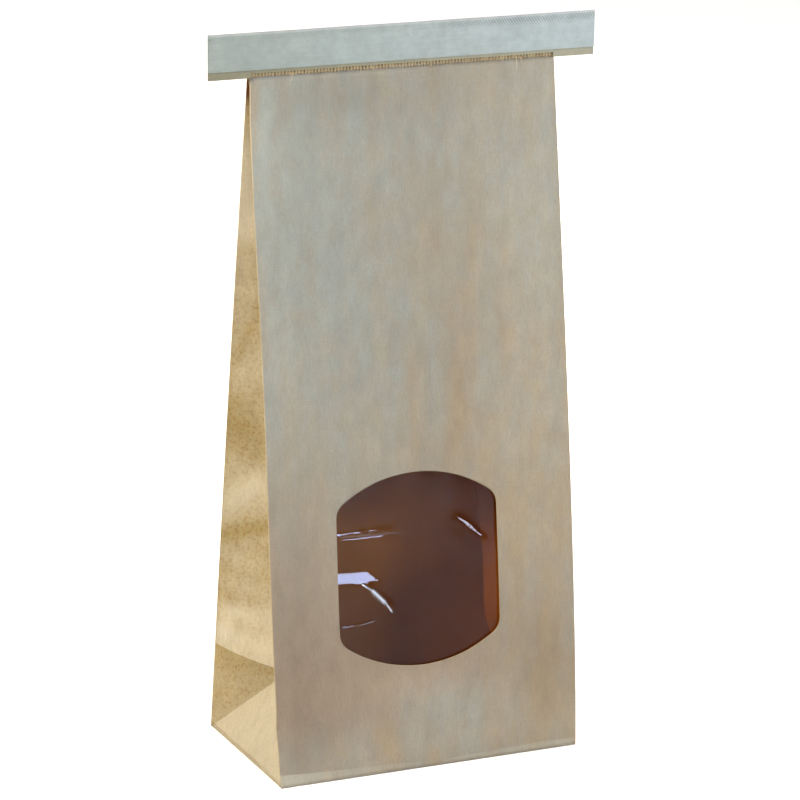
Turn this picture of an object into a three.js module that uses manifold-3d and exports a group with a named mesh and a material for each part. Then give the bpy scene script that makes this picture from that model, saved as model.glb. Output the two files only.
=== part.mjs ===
// A kraft-paper bag with gusseted sides, empty and standing on its flat base. Its mouth is
// pressed flat and folded once to the front, so that its saw-cut edge points down below a stiff
// tie strip that is wider than the bag. A barrel-shaped window in the front is closed by a clear
// film glued on from inside. Millimetres, +Z up, the front faces -Y, and the origin is on the
// table under the middle of the bag.

import * as THREE from 'three';
import { mergeVertices } from 'three/addons/utils/BufferGeometryUtils.js';
import Module from 'manifold-3d';

// ---- Driving dimensions ------------------------------------------------------------------

const bag = {
  width: 108, depth: 63,        // the flat base
  neckHeight: 231,              // where the leaning panels meet the pressed neck
  foldHeight: 244.9,            // top of the folded mouth
  neckThickness: 2.8,           // the pressed plies at the neck
  wall: 0.7, floor: 1.2,        // the floor is several plies, folded over each other
  foldEdge: 0.6,                // thickness of a folded paper edge
};
const crease = {
  height: 27.9,                 // where the crossing base creases meet, in the gusset's middle
  edgeHeight: 31.2,             // where the slanting crease leaves the bag's upright folds
};
const shape = {                 // how far the soft front panel strays from a flat one
  rightBulge: 2.8,              // its right fold stands proud, most of all low down
  leftDip: 1.5,                 // its left fold is drawn in, low down and near the neck
  leftDipHeight: 50, leftDipSpacing: 155,
  footFlare: 9,                 // the left fold runs out to the base corner over this height
  backBulge: 0.8,
};
const window_ = {
  width: 57, height: 65.2,      // measured along the leaning panel
  sill: 35,                     // from the base edge up to its lowest point
  offset: -2,
  archRadius: 45, cornerRadius: 6,
};
const film = { overlap: 7, thickness: 0.4, gap: 0.5 };
const flap = { thickness: 0.5, edge: 232, teeth: 74, toothDepth: 1 };
const tie = {
  length: 136.6, offset: -0.5,
  top: 245.8, bottom: 231,      // of the whole strip
  faceBottom: 233.6,            // of its front ply, which the flap's edge looks out under
  thickness: 0.8, step: 0.35,   // how far the ends of the back ply lie behind the front one
  topBead: 0.35,                // how much thicker the strip is along its top edge
  topBeadHeight: 2,
};
const gap = 0.3;                // between pieces that touch

const halfWidth = bag.width / 2;
const halfDepth = bag.depth / 2;
const neckHalf = bag.neckThickness / 2;

const wasm = await Module();
wasm.setup();

// ---- Materials ---------------------------------------------------------------------------

const kraft = new THREE.MeshStandardMaterial({ color: 0xb8a78a, roughness: 0.85, metalness: 0 });
const strip = new THREE.MeshStandardMaterial({ color: 0xaebab2, roughness: 0.7, metalness: 0 });
const clear = new THREE.MeshStandardMaterial(
  { color: 0xe9edf0, roughness: 0.12, metalness: 0, transparent: true, opacity: 0.3 });

// ---- The form of the bag -----------------------------------------------------------------

// Share of the way from the base to the neck, from 0 to 1.
const rise = (z) => THREE.MathUtils.clamp(z / bag.neckHeight, 0, 1);

// The four panels lean together in straight lines, plus the soft panel's own bends.
const lean = (z) => THREE.MathUtils.lerp(halfDepth, neckHalf, rise(z));

function leftFoldY(z) {
  const wave = 0.55 + 0.45 * Math.cos(2 * Math.PI * (z - shape.leftDipHeight) / shape.leftDipSpacing);
  const foot = THREE.MathUtils.clamp(z / shape.footFlare, 0, 1);
  const neck = THREE.MathUtils.clamp((bag.neckHeight - z) / 14, 0, 1);
  return -lean(z) + shape.leftDip * wave * foot * neck;
}

function rightFoldY(z) {
  return -lean(z) - shape.rightBulge * Math.sin(Math.PI * rise(z) ** 0.7);
}

function frontY(x, z) {
  return THREE.MathUtils.lerp(leftFoldY(z), rightFoldY(z), (x + halfWidth) / bag.width);
}

function backY(z) {
  return lean(z) + shape.backBulge * Math.sin(Math.PI * rise(z));
}

// Half of the gusset is a strip of paper halfDepth wide, from an upright fold to the crease in
// the middle. As the panels come together it turns inwards about the upright fold.
function gussetDepth(side, z) {
  const opening = (backY(z) - frontY(side * halfWidth, z)) / 2;
  return Math.sqrt(Math.max(0, halfDepth ** 2 - opening ** 2));
}

// Where the gusset bends at height z: two points on the slanting base creases, which run from
// the base corners up to one point on the middle crease, and above it the middle crease twice.
function gussetBends(side, z) {
  const up = Math.min(z / crease.height, 1);
  const depth = up < 1 ? gussetDepth(side, crease.height) * up : gussetDepth(side, z);
  const spread = (halfDepth - bag.foldEdge) * (1 - up);
  const middle = up < 1 ? 0 : (backY(z) + frontY(side * halfWidth, z)) / 2 * (z - crease.height)
    / (bag.neckHeight - crease.height);
  const x = side * (halfWidth - depth);
  return [new THREE.Vector2(x, middle - spread), new THREE.Vector2(x, middle + spread)];
}

// Points along one panel at height z, from one x to another.
function panelRow(fromX, toX, columns, y, z) {
  const row = [];
  for (let i = 0; i <= columns; i++) {
    const x = THREE.MathUtils.lerp(fromX, toX, i / columns);
    row.push(new THREE.Vector3(x, y(x), z));
  }
  return row;
}

// The outside of the bag at height z, counter-clockwise from the front left fold.
const frontColumns = 6;
const backColumns = 1;
function outerRing(z) {
  const at = (x, y) => new THREE.Vector3(x, y, z);
  return [
    ...panelRow(-halfWidth, halfWidth, frontColumns, (x) => frontY(x, z), z),
    at(halfWidth, frontY(halfWidth, z) + bag.foldEdge),
    ...gussetBends(1, z).map((p) => at(p.x, p.y)),
    at(halfWidth, backY(z) - bag.foldEdge),
    ...panelRow(halfWidth, -halfWidth, backColumns, () => backY(z), z),
    at(-halfWidth, backY(z) - bag.foldEdge),
    ...gussetBends(-1, z).reverse().map((p) => at(p.x, p.y)),
    at(-halfWidth, frontY(-halfWidth, z) + bag.foldEdge),
  ];
}

// The inside of the bag at height z. A gusset half that slopes by m in the level section stands
// back by wall * hypot(1, m) / m at its crease, and meets the panel's inside at cornerInset.
function innerRing(z) {
  const slope = (side) => {
    const level = Math.max(z, crease.height);
    const opening = (backY(level) - frontY(side * halfWidth, level)) / 2;
    return opening / gussetDepth(side, level);
  };
  const cornerInset = (m) => (bag.wall * (1 + Math.hypot(1, m)) - bag.foldEdge) / m;
  const creaseInset = (m) => bag.wall * Math.hypot(1, m) / m;
  const bend = (side) => (p) => new THREE.Vector3(p.x - side * creaseInset(slope(side)), p.y, z);
  const left = -halfWidth + cornerInset(slope(-1));
  const right = halfWidth - cornerInset(slope(1));
  return [
    ...panelRow(left, right, frontColumns, (x) => frontY(x, z) + bag.wall, z),
    ...gussetBends(1, z).map(bend(1)),
    ...panelRow(right, left, backColumns, () => backY(z) - bag.wall, z),
    ...gussetBends(-1, z).reverse().map(bend(-1)),
  ];
}

// ---- Solids ------------------------------------------------------------------------------

// A closed skin over rings of equal length, with a fan of triangles over each end. Each face
// folds along its shorter diagonal, which is how the paper creases where the gusset turns in.
function loft(rings) {
  const count = rings[0].length;
  const points = rings.flat();
  const index = [];
  for (let level = 0; level < rings.length - 1; level++) {
    for (let i = 0; i < count; i++) {
      const next = (i + 1) % count;
      const a = level * count + i;
      const b = level * count + next;
      const c = b + count;
      const d = a + count;
      const shortAC = points[a].distanceTo(points[c]) < points[b].distanceTo(points[d]);
      if (shortAC) index.push(a, b, c, a, c, d);
      else index.push(a, b, d, b, c, d);
    }
  }
  const centre = (ring) => ring.reduce((sum, p) => sum.add(p), new THREE.Vector3()).divideScalar(count);
  const top = (rings.length - 1) * count;
  const [below, above] = [points.length, points.length + 1];
  points.push(centre(rings[0]), centre(rings.at(-1)));
  for (let i = 0; i < count; i++) {
    const next = (i + 1) % count;
    index.push(below, next, i, above, top + i, top + next);
  }
  const geometry = new THREE.BufferGeometry().setFromPoints(points);
  geometry.setIndex(index);
  return geometry;
}

function solid(geometry) {
  const bare = geometry.clone();
  bare.deleteAttribute('normal');
  bare.deleteAttribute('uv');
  const merged = mergeVertices(bare, 1e-4);
  const all = merged.getIndex().array;
  const triVerts = [];
  for (let i = 0; i < all.length; i += 3) {
    const [a, b, c] = [all[i], all[i + 1], all[i + 2]];
    if (a !== b && b !== c && c !== a) triVerts.push(a, b, c);
  }
  return new wasm.Manifold(new wasm.Mesh({
    numProp: 3,
    vertProperties: new Float32Array(merged.getAttribute('position').array),
    triVerts: new Uint32Array(triVerts),
  }));
}

function geometryOf(manifold) {
  const mesh = manifold.getMesh();
  const geometry = new THREE.BufferGeometry();
  geometry.setAttribute('position', new THREE.BufferAttribute(new Float32Array(mesh.vertProperties), 3));
  geometry.setIndex(new THREE.BufferAttribute(new Uint32Array(mesh.triVerts), 1));
  geometry.computeVertexNormals();
  return geometry;
}

function piece(name, geometry, material) {
  const mesh = new THREE.Mesh(geometry, material);
  mesh.name = name;
  return mesh;
}

// A profile drawn in (y, z), swept along X over the given length about centreX.
function sweptAlongX(outline, length, centreX = 0) {
  const geometry = new THREE.ExtrudeGeometry(outline, { depth: length, bevelEnabled: false, curveSegments: 6 });
  const axes = new THREE.Matrix4().makeBasis(
    new THREE.Vector3(0, 1, 0), new THREE.Vector3(0, 0, 1), new THREE.Vector3(1, 0, 0));
  geometry.applyMatrix4(axes);
  return geometry.translate(centreX - length / 2, 0, 0);
}

// An outline drawn in (x, z), given thickness from frontY backwards.
function facingFront(outline, frontFaceY, thickness) {
  const geometry = new THREE.ExtrudeGeometry(outline, { depth: thickness, bevelEnabled: false, curveSegments: 10 });
  geometry.rotateX(Math.PI / 2);
  return geometry.translate(0, frontFaceY + thickness, 0);
}

// ---- The paper bag -----------------------------------------------------------------------

const ringHeights = [
  0, 4, 9, 18, crease.height, crease.edgeHeight,
  44, 60, 78, 96, 115, 135, 155, 175, 195, 212, bag.neckHeight,
];
const hollowTop = 195;          // above it the inner faces of the plies touch

// The mouth, pressed and turned over once to the front: the plies of the neck, the round fold on
// top, and the flap that comes down in front of them.
function foldedMouth() {
  const front = -neckHalf - flap.thickness;
  const back = neckHalf;
  const radius = (back - front) / 2;
  const outline = new THREE.Shape();
  outline.moveTo(back, bag.neckHeight - 0.5);
  outline.lineTo(back, bag.foldHeight - radius);
  outline.absarc((back + front) / 2, bag.foldHeight - radius, radius, 0, Math.PI, false);
  outline.lineTo(front, flap.edge);
  outline.lineTo(-neckHalf, flap.edge);
  outline.lineTo(-neckHalf, bag.neckHeight - 0.5);
  outline.closePath();
  return sweptAlongX(outline, bag.width);
}

// The flap's cut edge: a row of small teeth that point down.
function sawEdge() {
  const pitch = bag.width / flap.teeth;
  const outline = new THREE.Shape();
  outline.moveTo(-halfWidth, flap.edge + 0.5);
  for (let i = 0; i < flap.teeth; i++) {
    const x = -halfWidth + i * pitch;
    outline.lineTo(x, flap.edge);
    outline.lineTo(x + pitch / 2, flap.edge - flap.toothDepth);
  }
  outline.lineTo(halfWidth, flap.edge);
  outline.lineTo(halfWidth, flap.edge + 0.5);
  outline.closePath();
  return facingFront(outline, -neckHalf - flap.thickness, flap.thickness);
}

// A barrel: upright sides, an arched top and bottom, and round corners between them. Drawn with
// its lowest point at (0, 0).
function barrelOutline(width, height, archRadius, cornerRadius) {
  const halfW = width / 2;
  const offCentre = halfW - cornerRadius;                      // of a corner's centre
  const down = Math.sqrt((archRadius - cornerRadius) ** 2 - offCentre ** 2);
  const turn = Math.atan2(down, offCentre);                    // where the arch meets the corner
  const low = archRadius - down;                               // height of the low corners' centres
  const high = height - low;
  const outline = new THREE.Shape();
  outline.moveTo(halfW, low);
  outline.absarc(offCentre, high, cornerRadius, 0, turn, false);
  outline.absarc(0, height - archRadius, archRadius, turn, Math.PI - turn, false);
  outline.absarc(-offCentre, high, cornerRadius, Math.PI - turn, Math.PI, false);
  outline.absarc(-offCentre, low, cornerRadius, Math.PI, Math.PI + turn, false);
  outline.absarc(0, archRadius, archRadius, Math.PI + turn, 2 * Math.PI - turn, false);
  outline.absarc(offCentre, low, cornerRadius, 2 * Math.PI - turn, 2 * Math.PI, false);
  outline.closePath();
  return outline;
}

const panelLean = Math.atan2(halfDepth - neckHalf, bag.neckHeight);

// The cutter stands in the front panel's plane and reaches past both of its faces.
function windowCutter() {
  const outline = barrelOutline(window_.width, window_.height, window_.archRadius, window_.cornerRadius);
  const cutter = facingFront(outline, -6, 12);
  cutter.translate(window_.offset, 0, window_.sill);
  cutter.rotateX(-panelLean);
  return cutter.translate(0, -halfDepth, 0);
}

function paperBag() {
  const outside = solid(loft(ringHeights.map(outerRing)));
  const hollowHeights = ringHeights.filter((z) => z > bag.floor && z <= hollowTop);
  const hollow = solid(loft([bag.floor, ...hollowHeights].map(innerRing)));
  return outside
    .add(solid(foldedMouth()))
    .add(solid(sawEdge()))
    .subtract(hollow)
    .subtract(solid(windowCutter()));
}

// ---- The window film ---------------------------------------------------------------------

// A thin pane just behind the front panel. It follows the panel's bends and reaches past the
// window all round.
function windowFilm() {
  const columns = 4;
  const rows = 6;
  const left = window_.offset - window_.width / 2 - film.overlap;
  const right = window_.offset + window_.width / 2 + film.overlap;
  const low = (window_.sill - film.overlap) * Math.cos(panelLean);
  const high = (window_.sill + window_.height + film.overlap) * Math.cos(panelLean);
  const front = bag.wall + film.gap;
  const level = (z) => [
    ...panelRow(left, right, columns, (x) => frontY(x, z) + front, z),
    ...panelRow(right, left, columns, (x) => frontY(x, z) + front + film.thickness, z),
  ];
  const rings = [];
  for (let j = 0; j <= rows; j++) rings.push(level(THREE.MathUtils.lerp(low, high, j / rows)));
  return solid(loft(rings));
}

// ---- The tie strip -----------------------------------------------------------------------

// The front ply runs the whole length and is thicker along its top edge, where a flat wire lies
// inside. Beyond the bag's sides the back ply shows below it.
function tieStrip() {
  const back = -neckHalf - flap.thickness - gap;
  const front = back - tie.thickness;
  const face = new THREE.Shape();
  face.moveTo(back, tie.faceBottom);
  face.lineTo(back, tie.top - 0.4);
  face.lineTo(back - 0.3, tie.top);
  face.lineTo(front - tie.topBead + 0.3, tie.top);
  face.lineTo(front - tie.topBead, tie.top - 0.5);
  face.lineTo(front - tie.topBead, tie.top - tie.topBeadHeight + 0.4);
  face.lineTo(front, tie.top - tie.topBeadHeight);
  face.lineTo(front, tie.faceBottom);
  face.closePath();
  let whole = solid(sweptAlongX(face, tie.length, tie.offset));

  for (const side of [-1, 1]) {
    const inner = side * (halfWidth + gap);
    const outer = tie.offset + side * tie.length / 2;
    const low = new THREE.Shape();
    low.moveTo(back, tie.bottom);
    low.lineTo(back, tie.faceBottom + 1);
    low.lineTo(front + tie.step, tie.faceBottom + 1);
    low.lineTo(front + tie.step, tie.bottom);
    low.closePath();
    whole = whole.add(solid(sweptAlongX(low, Math.abs(outer - inner), (outer + inner) / 2)));
  }
  return whole;
}

// ---- The whole ---------------------------------------------------------------------------

const group = new THREE.Group();
group.add(piece('paper_bag', geometryOf(paperBag()), kraft));
group.add(piece('window_film', geometryOf(windowFilm()), clear));
group.add(piece('tin_tie', geometryOf(tieStrip()), strip));

export default group;
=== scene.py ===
import math

import bmesh
import bpy
import numpy as np
from mathutils import Matrix, Vector


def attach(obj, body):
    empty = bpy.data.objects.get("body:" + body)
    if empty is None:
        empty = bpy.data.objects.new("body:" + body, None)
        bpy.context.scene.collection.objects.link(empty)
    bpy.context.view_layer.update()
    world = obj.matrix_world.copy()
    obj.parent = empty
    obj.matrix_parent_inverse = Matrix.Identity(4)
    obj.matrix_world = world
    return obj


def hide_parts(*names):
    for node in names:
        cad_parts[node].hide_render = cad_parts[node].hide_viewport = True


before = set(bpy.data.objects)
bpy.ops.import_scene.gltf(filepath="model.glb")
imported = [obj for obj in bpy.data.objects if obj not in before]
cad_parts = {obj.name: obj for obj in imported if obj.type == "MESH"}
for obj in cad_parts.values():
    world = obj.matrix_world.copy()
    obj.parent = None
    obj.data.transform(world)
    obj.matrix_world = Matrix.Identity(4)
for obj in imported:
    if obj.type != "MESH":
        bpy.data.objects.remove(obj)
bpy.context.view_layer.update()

mm = 0.001  # the sizes below are in millimetres, and become metres in buildMesh
print("frame loaded:", sorted(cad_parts))


def linearColour(hexCode):
    # an sRGB hex value as the linear colour that a shader takes
    parts = [int(hexCode[i:i + 2], 16) / 255 for i in (0, 2, 4)]
    return [c / 12.92 if c <= 0.04045 else ((c + 0.055) / 1.055) ** 2.4 for c in parts] + [1.0]


def addNode(tree, kind, inputs=(), out=0, **settings):
    # adds one node with its settings and links, and gives back its output with the name or number out. The
    # inputs come in order, or by name or number: plain values, hex colours or other nodes' outputs
    node = tree.nodes.new(kind)
    for name, value in settings.items():
        setattr(node, name, value)
    for name, value in inputs.items() if isinstance(inputs, dict) else enumerate(inputs):
        if isinstance(value, bpy.types.NodeSocket):
            tree.links.new(value, node.inputs[name])
        else:
            node.inputs[name].default_value = linearColour(value) if isinstance(value, str) else value
    return node.outputs[out] if len(node.outputs) else None


def newMaterial(name):
    material = bpy.data.materials.new(name)
    material.use_nodes = True
    material.node_tree.nodes.clear()
    return material, material.node_tree


def blendValue(a, b, share):
    # a at share 0, b at share 1
    return a + (b - a) * share


def smoothStep(low, high, value):
    # 0 below low, 1 above high, and an S curve between them
    t = np.clip((value - low) / (high - low), 0, 1)
    return t * t * (3 - 2 * t)


def bell(value, centre, reach):
    # the Gaussian bell, 1 at the centre
    return np.exp(-((value - centre) / reach) ** 2)


def patch(x, z, centreX, centreZ, reachX, reachZ):
    # the same over an ellipse
    return np.exp(-((x - centreX) / reachX) ** 2 - ((z - centreZ) / reachZ) ** 2)


def alongLine(x, z, x0, z0, x1, z1):
    # how far along a line each place is, from 0 to 1, how far to its side, and the line's length
    length = math.hypot(x1 - x0, z1 - z0)
    ux, uz = (x1 - x0) / length, (z1 - z0) / length
    return ((x - x0) * ux + (z - z0) * uz) / length, (z - z0) * ux - (x - x0) * uz, length


def wander(a, b, size, seed, waves=6):
    # smooth random waves: a sum of sines of about one length, in seeded directions, from -1 to 1
    rng = np.random.default_rng(seed)
    turn, phase = rng.uniform(0, 2 * np.pi, (2, waves))
    length = size * rng.uniform(0.7, 1.5, waves)
    waveSum = 0
    for angle, start, step in zip(turn, phase, length):
        waveSum = waveSum + np.sin(2 * np.pi * (a * math.cos(angle) + b * math.sin(angle)) / step + start)
    return waveSum / math.sqrt(2 * waves)


def gridFaces(rows, columns, closed=False):
    # the quads between rows x columns points, wrapping round the columns if closed
    index = np.arange(rows * columns).reshape(rows, columns)
    if closed:
        index = np.concatenate([index, index[:, :1]], axis=1)
    corners = [index[:-1, :-1], index[:-1, 1:], index[1:, 1:], index[1:, :-1]]
    return np.stack(corners, axis=-1).reshape(-1, 4)


def facing(points, faces, outward):
    # turns the faces round if, on average, they look away from outward
    a, b, c, d = (points[faces[:, i]] for i in range(4))
    areas = np.cross(c - a, d - b)
    return faces if (areas.sum(0) @ np.array(outward, float)) > 0 else faces[:, ::-1]


def facingAway(points, faces, centre):
    # turns the faces of a closed form round if, on average, they look towards its centre
    away = points[faces].mean(1) - centre
    normal = np.cross(points[faces[:, 2]] - points[faces[:, 0]], points[faces[:, 3]] - points[faces[:, 1]])
    return faces if (away * normal).sum() > 0 else faces[:, ::-1]


def gather(sheets):
    # joins (points, faces) pairs into one pair of arrays
    allPoints, allFaces, start = [], [], 0
    for points, faces in sheets:
        allPoints.append(points)
        allFaces.append(faces + start)
        start += len(points)
    return np.concatenate(allPoints), np.concatenate(allFaces)


def sheet(grid, outward, closed=False, keep=None):
    # a rows x columns x 3 grid as a (points, faces) pair; keep drops faces
    rows, columns = grid.shape[:2]
    points = grid.reshape(-1, 3)
    faces = gridFaces(rows, columns, closed)
    if keep is not None:
        faces = faces[keep]
    return points, facing(points, faces, outward)


def ruled(edgeA, edgeB, steps):
    # straight lines from each point of one edge to the same point of the other
    t = np.linspace(0, 1, steps + 1)[None, :, None]
    return edgeA[:, None, :] * (1 - t) + edgeB[:, None, :] * t


def buildMesh(name, points, faces, weld=0.02, sharp=35, faceTones=None):
    # points in millimetres; doubles closer than weld are merged and steep edges stay sharp
    mesh = bpy.data.meshes.new(name)
    mesh.from_pydata((points * mm).tolist(), [], faces.tolist())
    for toneName, values in (faceTones or {}).items():
        layer = mesh.attributes.new(toneName, "FLOAT", "FACE")
        layer.data.foreach_set("value", np.asarray(values, np.float32))
    work = bmesh.new()
    work.from_mesh(mesh)
    bmesh.ops.remove_doubles(work, verts=work.verts, dist=weld * mm)
    bmesh.ops.dissolve_degenerate(work, edges=work.edges, dist=0.001 * mm)
    loose = [vertex for vertex in work.verts if not vertex.link_faces]
    bmesh.ops.delete(work, geom=loose, context="VERTS")
    work.to_mesh(mesh)
    work.free()
    mesh.shade_smooth()
    mesh.set_sharp_from_angle(angle=math.radians(sharp))
    piece = bpy.data.objects.new(name, mesh)
    bpy.context.scene.collection.objects.link(piece)
    return piece


def placesOf(piece):
    # the piece's points in millimetres, as x, y and z arrays
    flat = np.empty(len(piece.data.vertices) * 3, np.float32)
    piece.data.vertices.foreach_get("co", flat)
    return (flat.reshape(-1, 3) / mm).T


def paint(piece, name, values):
    # one number for each point, which the material reads by name
    layer = piece.data.attributes.new(name, "FLOAT", "POINT")
    layer.data.foreach_set("value", np.asarray(values, np.float32))


def thicken(piece, thickness, innerSlot=0, rimSlot=0):
    # the sheet as drawn is the outer face, and the thickness goes inwards
    solid = piece.modifiers.new("thickness", "SOLIDIFY")
    solid.thickness = thickness * mm
    solid.offset = -1
    solid.use_even_offset = True
    solid.thickness_clamp = 1.0
    solid.material_offset = innerSlot
    solid.material_offset_rim = rimSlot


# the camera, at the photograph's angle; the azimuth is towards the left of the front
photoView = {
    "azimuth": 24.515, "elevation": 15.931, "roll": 0.919,
    "distance": 1276.96, "target": (0, 0, 125), "across": 0.725, "up": -6.303,
    "focal": 3853.15, "imageWidth": 800,  # in pixels
    "sensor": 36, "near": 0.05, "far": 50,
}


def makeCamera(view):
    a, e, r = (math.radians(view[key]) for key in ("azimuth", "elevation", "roll"))
    back = Vector((-math.sin(a) * math.cos(e), -math.cos(a) * math.cos(e), math.sin(e)))
    level = Vector((math.cos(a), -math.sin(a), 0))
    high = back.cross(level)
    right = level * math.cos(r) + high * math.sin(r)
    up = high * math.cos(r) - level * math.sin(r)
    place = Vector(view["target"]) + back * view["distance"] + right * view["across"] + up * view["up"]
    data = bpy.data.cameras.new("photoCamera")
    data.lens = view["focal"] * view["sensor"] / view["imageWidth"]
    data.sensor_width, data.clip_start, data.clip_end = view["sensor"], view["near"], view["far"]
    camera = bpy.data.objects.new("photoCamera", data)
    turned = Matrix((right, up, back)).transposed().to_4x4()
    camera.matrix_world = Matrix.Translation(place * mm) @ turned
    bpy.context.scene.collection.objects.link(camera)
    bpy.context.scene.camera = camera


makeCamera(photoView)
print("camera placed")


# the form of the bag, the same as the solids have
bag = {
    "width": 108, "depth": 63, "neckHeight": 231, "foldHeight": 244.9, "neckThickness": 2.8,
    "creaseHeight": 27.9,       # where the base creases meet in the gusset's middle
    "edgeHeight": 31.2,         # where the slanting crease leaves the upright folds
    "paper": 0.22,              # drawn thicker than real kraft, so that the window's rim shows
    "foldRadius": 0.3,          # of the upright folds
    "rightBulge": 2.8, "leftDip": 1.5, "leftDipHeight": 50, "leftDipSpacing": 155,
    "footFlare": 9, "neckFade": 14,   # the dip fades out over these heights at the foot and the neck
    "backBulge": 0.8, "backSwell": 0.3, "backSwellSize": 70,
    "hem": 4.2,                 # the strip along the front's foot, pressed by the glued base
    "columns": 80, "backColumns": 192, "foldSteps": 6,
}
halfWidth, halfDepth, neckHalf = bag["width"] / 2, bag["depth"] / 2, bag["neckThickness"] / 2
panelEdge = halfWidth - bag["foldRadius"]  # where the panels end and the round of the folds begins


def riseOf(z):
    # 0 at the base, 1 at the neck
    return np.clip(z / bag["neckHeight"], 0, 1)


def leanOf(z):
    # straight line from the base's edge to the pressed neck
    return blendValue(halfDepth, neckHalf, riseOf(z))


def frontPlane(x, z):
    # each upright fold has its own curve, and the panel is straight from one to the other
    wave = 0.55 + 0.45 * np.cos(2 * np.pi * (z - bag["leftDipHeight"]) / bag["leftDipSpacing"])
    foot = np.clip(z / bag["footFlare"], 0, 1)
    neck = np.clip((bag["neckHeight"] - z) / bag["neckFade"], 0, 1)
    left = -leanOf(z) + bag["leftDip"] * wave * foot * neck
    right = -leanOf(z) - bag["rightBulge"] * np.sin(np.pi * riseOf(z) ** 0.7)
    return blendValue(left, right, (x + halfWidth) / bag["width"])


frontForm = {
    "swell": 0.35, "swellSize": 75,     # slow waves of the empty, handled panel
    "ripple": 0.10, "rippleSize": 22,
    "edgeFade": 12,                     # how far from the upright folds the waves begin
    "hemTilt": 0.15, "hemReach": 12,    # how far the strip along the foot is pressed in, and felt above it
    "dent": (-54, 19, 5.5, 0.9),        # x, z, radius and depth of the dent on the left fold
}


def frontY(x, z):
    # the plane above, with slow waves that fade at the edges, a pressed foot and one dent
    edge = frontForm["edgeFade"]
    fade = smoothStep(0, edge, x + halfWidth) * smoothStep(0, edge, halfWidth - x)
    fade = fade * smoothStep(0, 15, z) * smoothStep(0, 25, bag["neckHeight"] - z)
    waves = frontForm["swell"] * wander(x, z * 0.6, frontForm["swellSize"], 11)
    waves = waves + frontForm["ripple"] * wander(x * 1.6, z * 0.5, frontForm["rippleSize"], 12)
    pastHem = np.clip(z - bag["hem"], 0, None)
    hem = frontForm["hemTilt"] * np.clip(z / bag["hem"], 0, 1) * np.exp(-pastHem / frontForm["hemReach"])
    dentX, dentZ, dentR, dentDepth = frontForm["dent"]
    dent = dentDepth * np.clip(1 - np.hypot(x - dentX, (z - dentZ) * 0.8) / dentR, 0, 1)
    return frontPlane(x, z) + waves * fade + hem + dent


def backY(x, z):
    # bulged in the middle of its height, with slow waves that fade at the edges
    swell = bag["backSwell"] * wander(x, z * 0.6, bag["backSwellSize"], 21)
    swell = swell * smoothStep(0, 15, z) * smoothStep(0, 30, bag["neckHeight"] - z)
    swell = swell * smoothStep(0, frontForm["edgeFade"], halfWidth - np.abs(x))
    return leanOf(z) + bag["backBulge"] * np.sin(np.pi * riseOf(z)) + swell


# rows of the mesh: one lies on the height where the slanting crease meets the folds
rowHeights = np.concatenate([
    np.linspace(0, bag["hem"], 4)[:-1],
    np.linspace(bag["hem"], bag["edgeHeight"], 15)[:-1],
    np.linspace(bag["edgeHeight"], bag["neckHeight"], 101),
])
edgeRow = int(np.argmin(np.abs(rowHeights - bag["edgeHeight"])))


def uprightFold(side, front, z):
    # the round of an upright fold as half a circle, from the panel to the gusset
    radius = bag["foldRadius"]
    turn = np.linspace(0, np.pi, bag["foldSteps"] + 1)[None, :]
    x = side * (halfWidth - radius + radius * np.sin(turn)) + 0 * z[:, None]
    start = frontY(side * halfWidth, z) if front else backY(side * halfWidth, z)
    depth = radius * (1 - np.cos(turn))
    y = start[:, None] + (depth if front else -depth)
    return np.stack([x, y, z[:, None] + 0 * turn], axis=-1)


gusset = {
    "steps": 16, "footSteps": 30,
    "rightTuck": (1.9, 2.7, 38, 16),    # the right gusset is pushed in: everywhere, and more round a height
    "waves": 0.35, "waveLength": 56, "waveStart": 77,  # soft bends, in step with the light bands
    "waveTurn": 1.6, "waveLag": 0.6,    # where in its swing a bend starts, and how much later at the crease
    "cockle": 0.12, "cockleSize": 20,
    "ridge": 1.8, "ridgeReach": 18,     # how far the slanting crease stands out, and how far up it is felt
}


def gussetDepth(side, z):
    # a strip of paper halfDepth wide turns inwards as the panels come together
    opening = (backY(side * halfWidth, z) - frontY(side * halfWidth, z)) / 2
    return np.sqrt(np.clip(halfDepth ** 2 - opening ** 2, 0, None))


def middleCrease(side, z):
    # the gusset's middle crease, from where the base creases meet up to the neck
    middle = (backY(side * halfWidth, z) + frontY(side * halfWidth, z)) / 2
    share = (z - bag["creaseHeight"]) / (bag["neckHeight"] - bag["creaseHeight"])
    ground, extra, height, reach = gusset["rightTuck"]
    tuck = (ground + extra * bell(z, height, reach)) * (side > 0)
    tuck = tuck * smoothStep(-6, 1.5, z - bag["creaseHeight"])
    tuck = tuck * smoothStep(0, 60, bag["neckHeight"] - z)
    return np.stack([side * (halfWidth - gussetDepth(side, z) - tuck), middle * share, z], axis=-1)


def ridgeOf(u):
    # none at the fold and at the middle crease, most between them
    return gusset["ridge"] * np.sin(np.pi * np.clip(u, 0, 1)) ** 0.8


def gussetOutward(side, front):
    # roughly square to one half of a gusset
    return np.array([side, 0.5 if front else -0.5, 0]) / math.hypot(1, 0.5)


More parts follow.
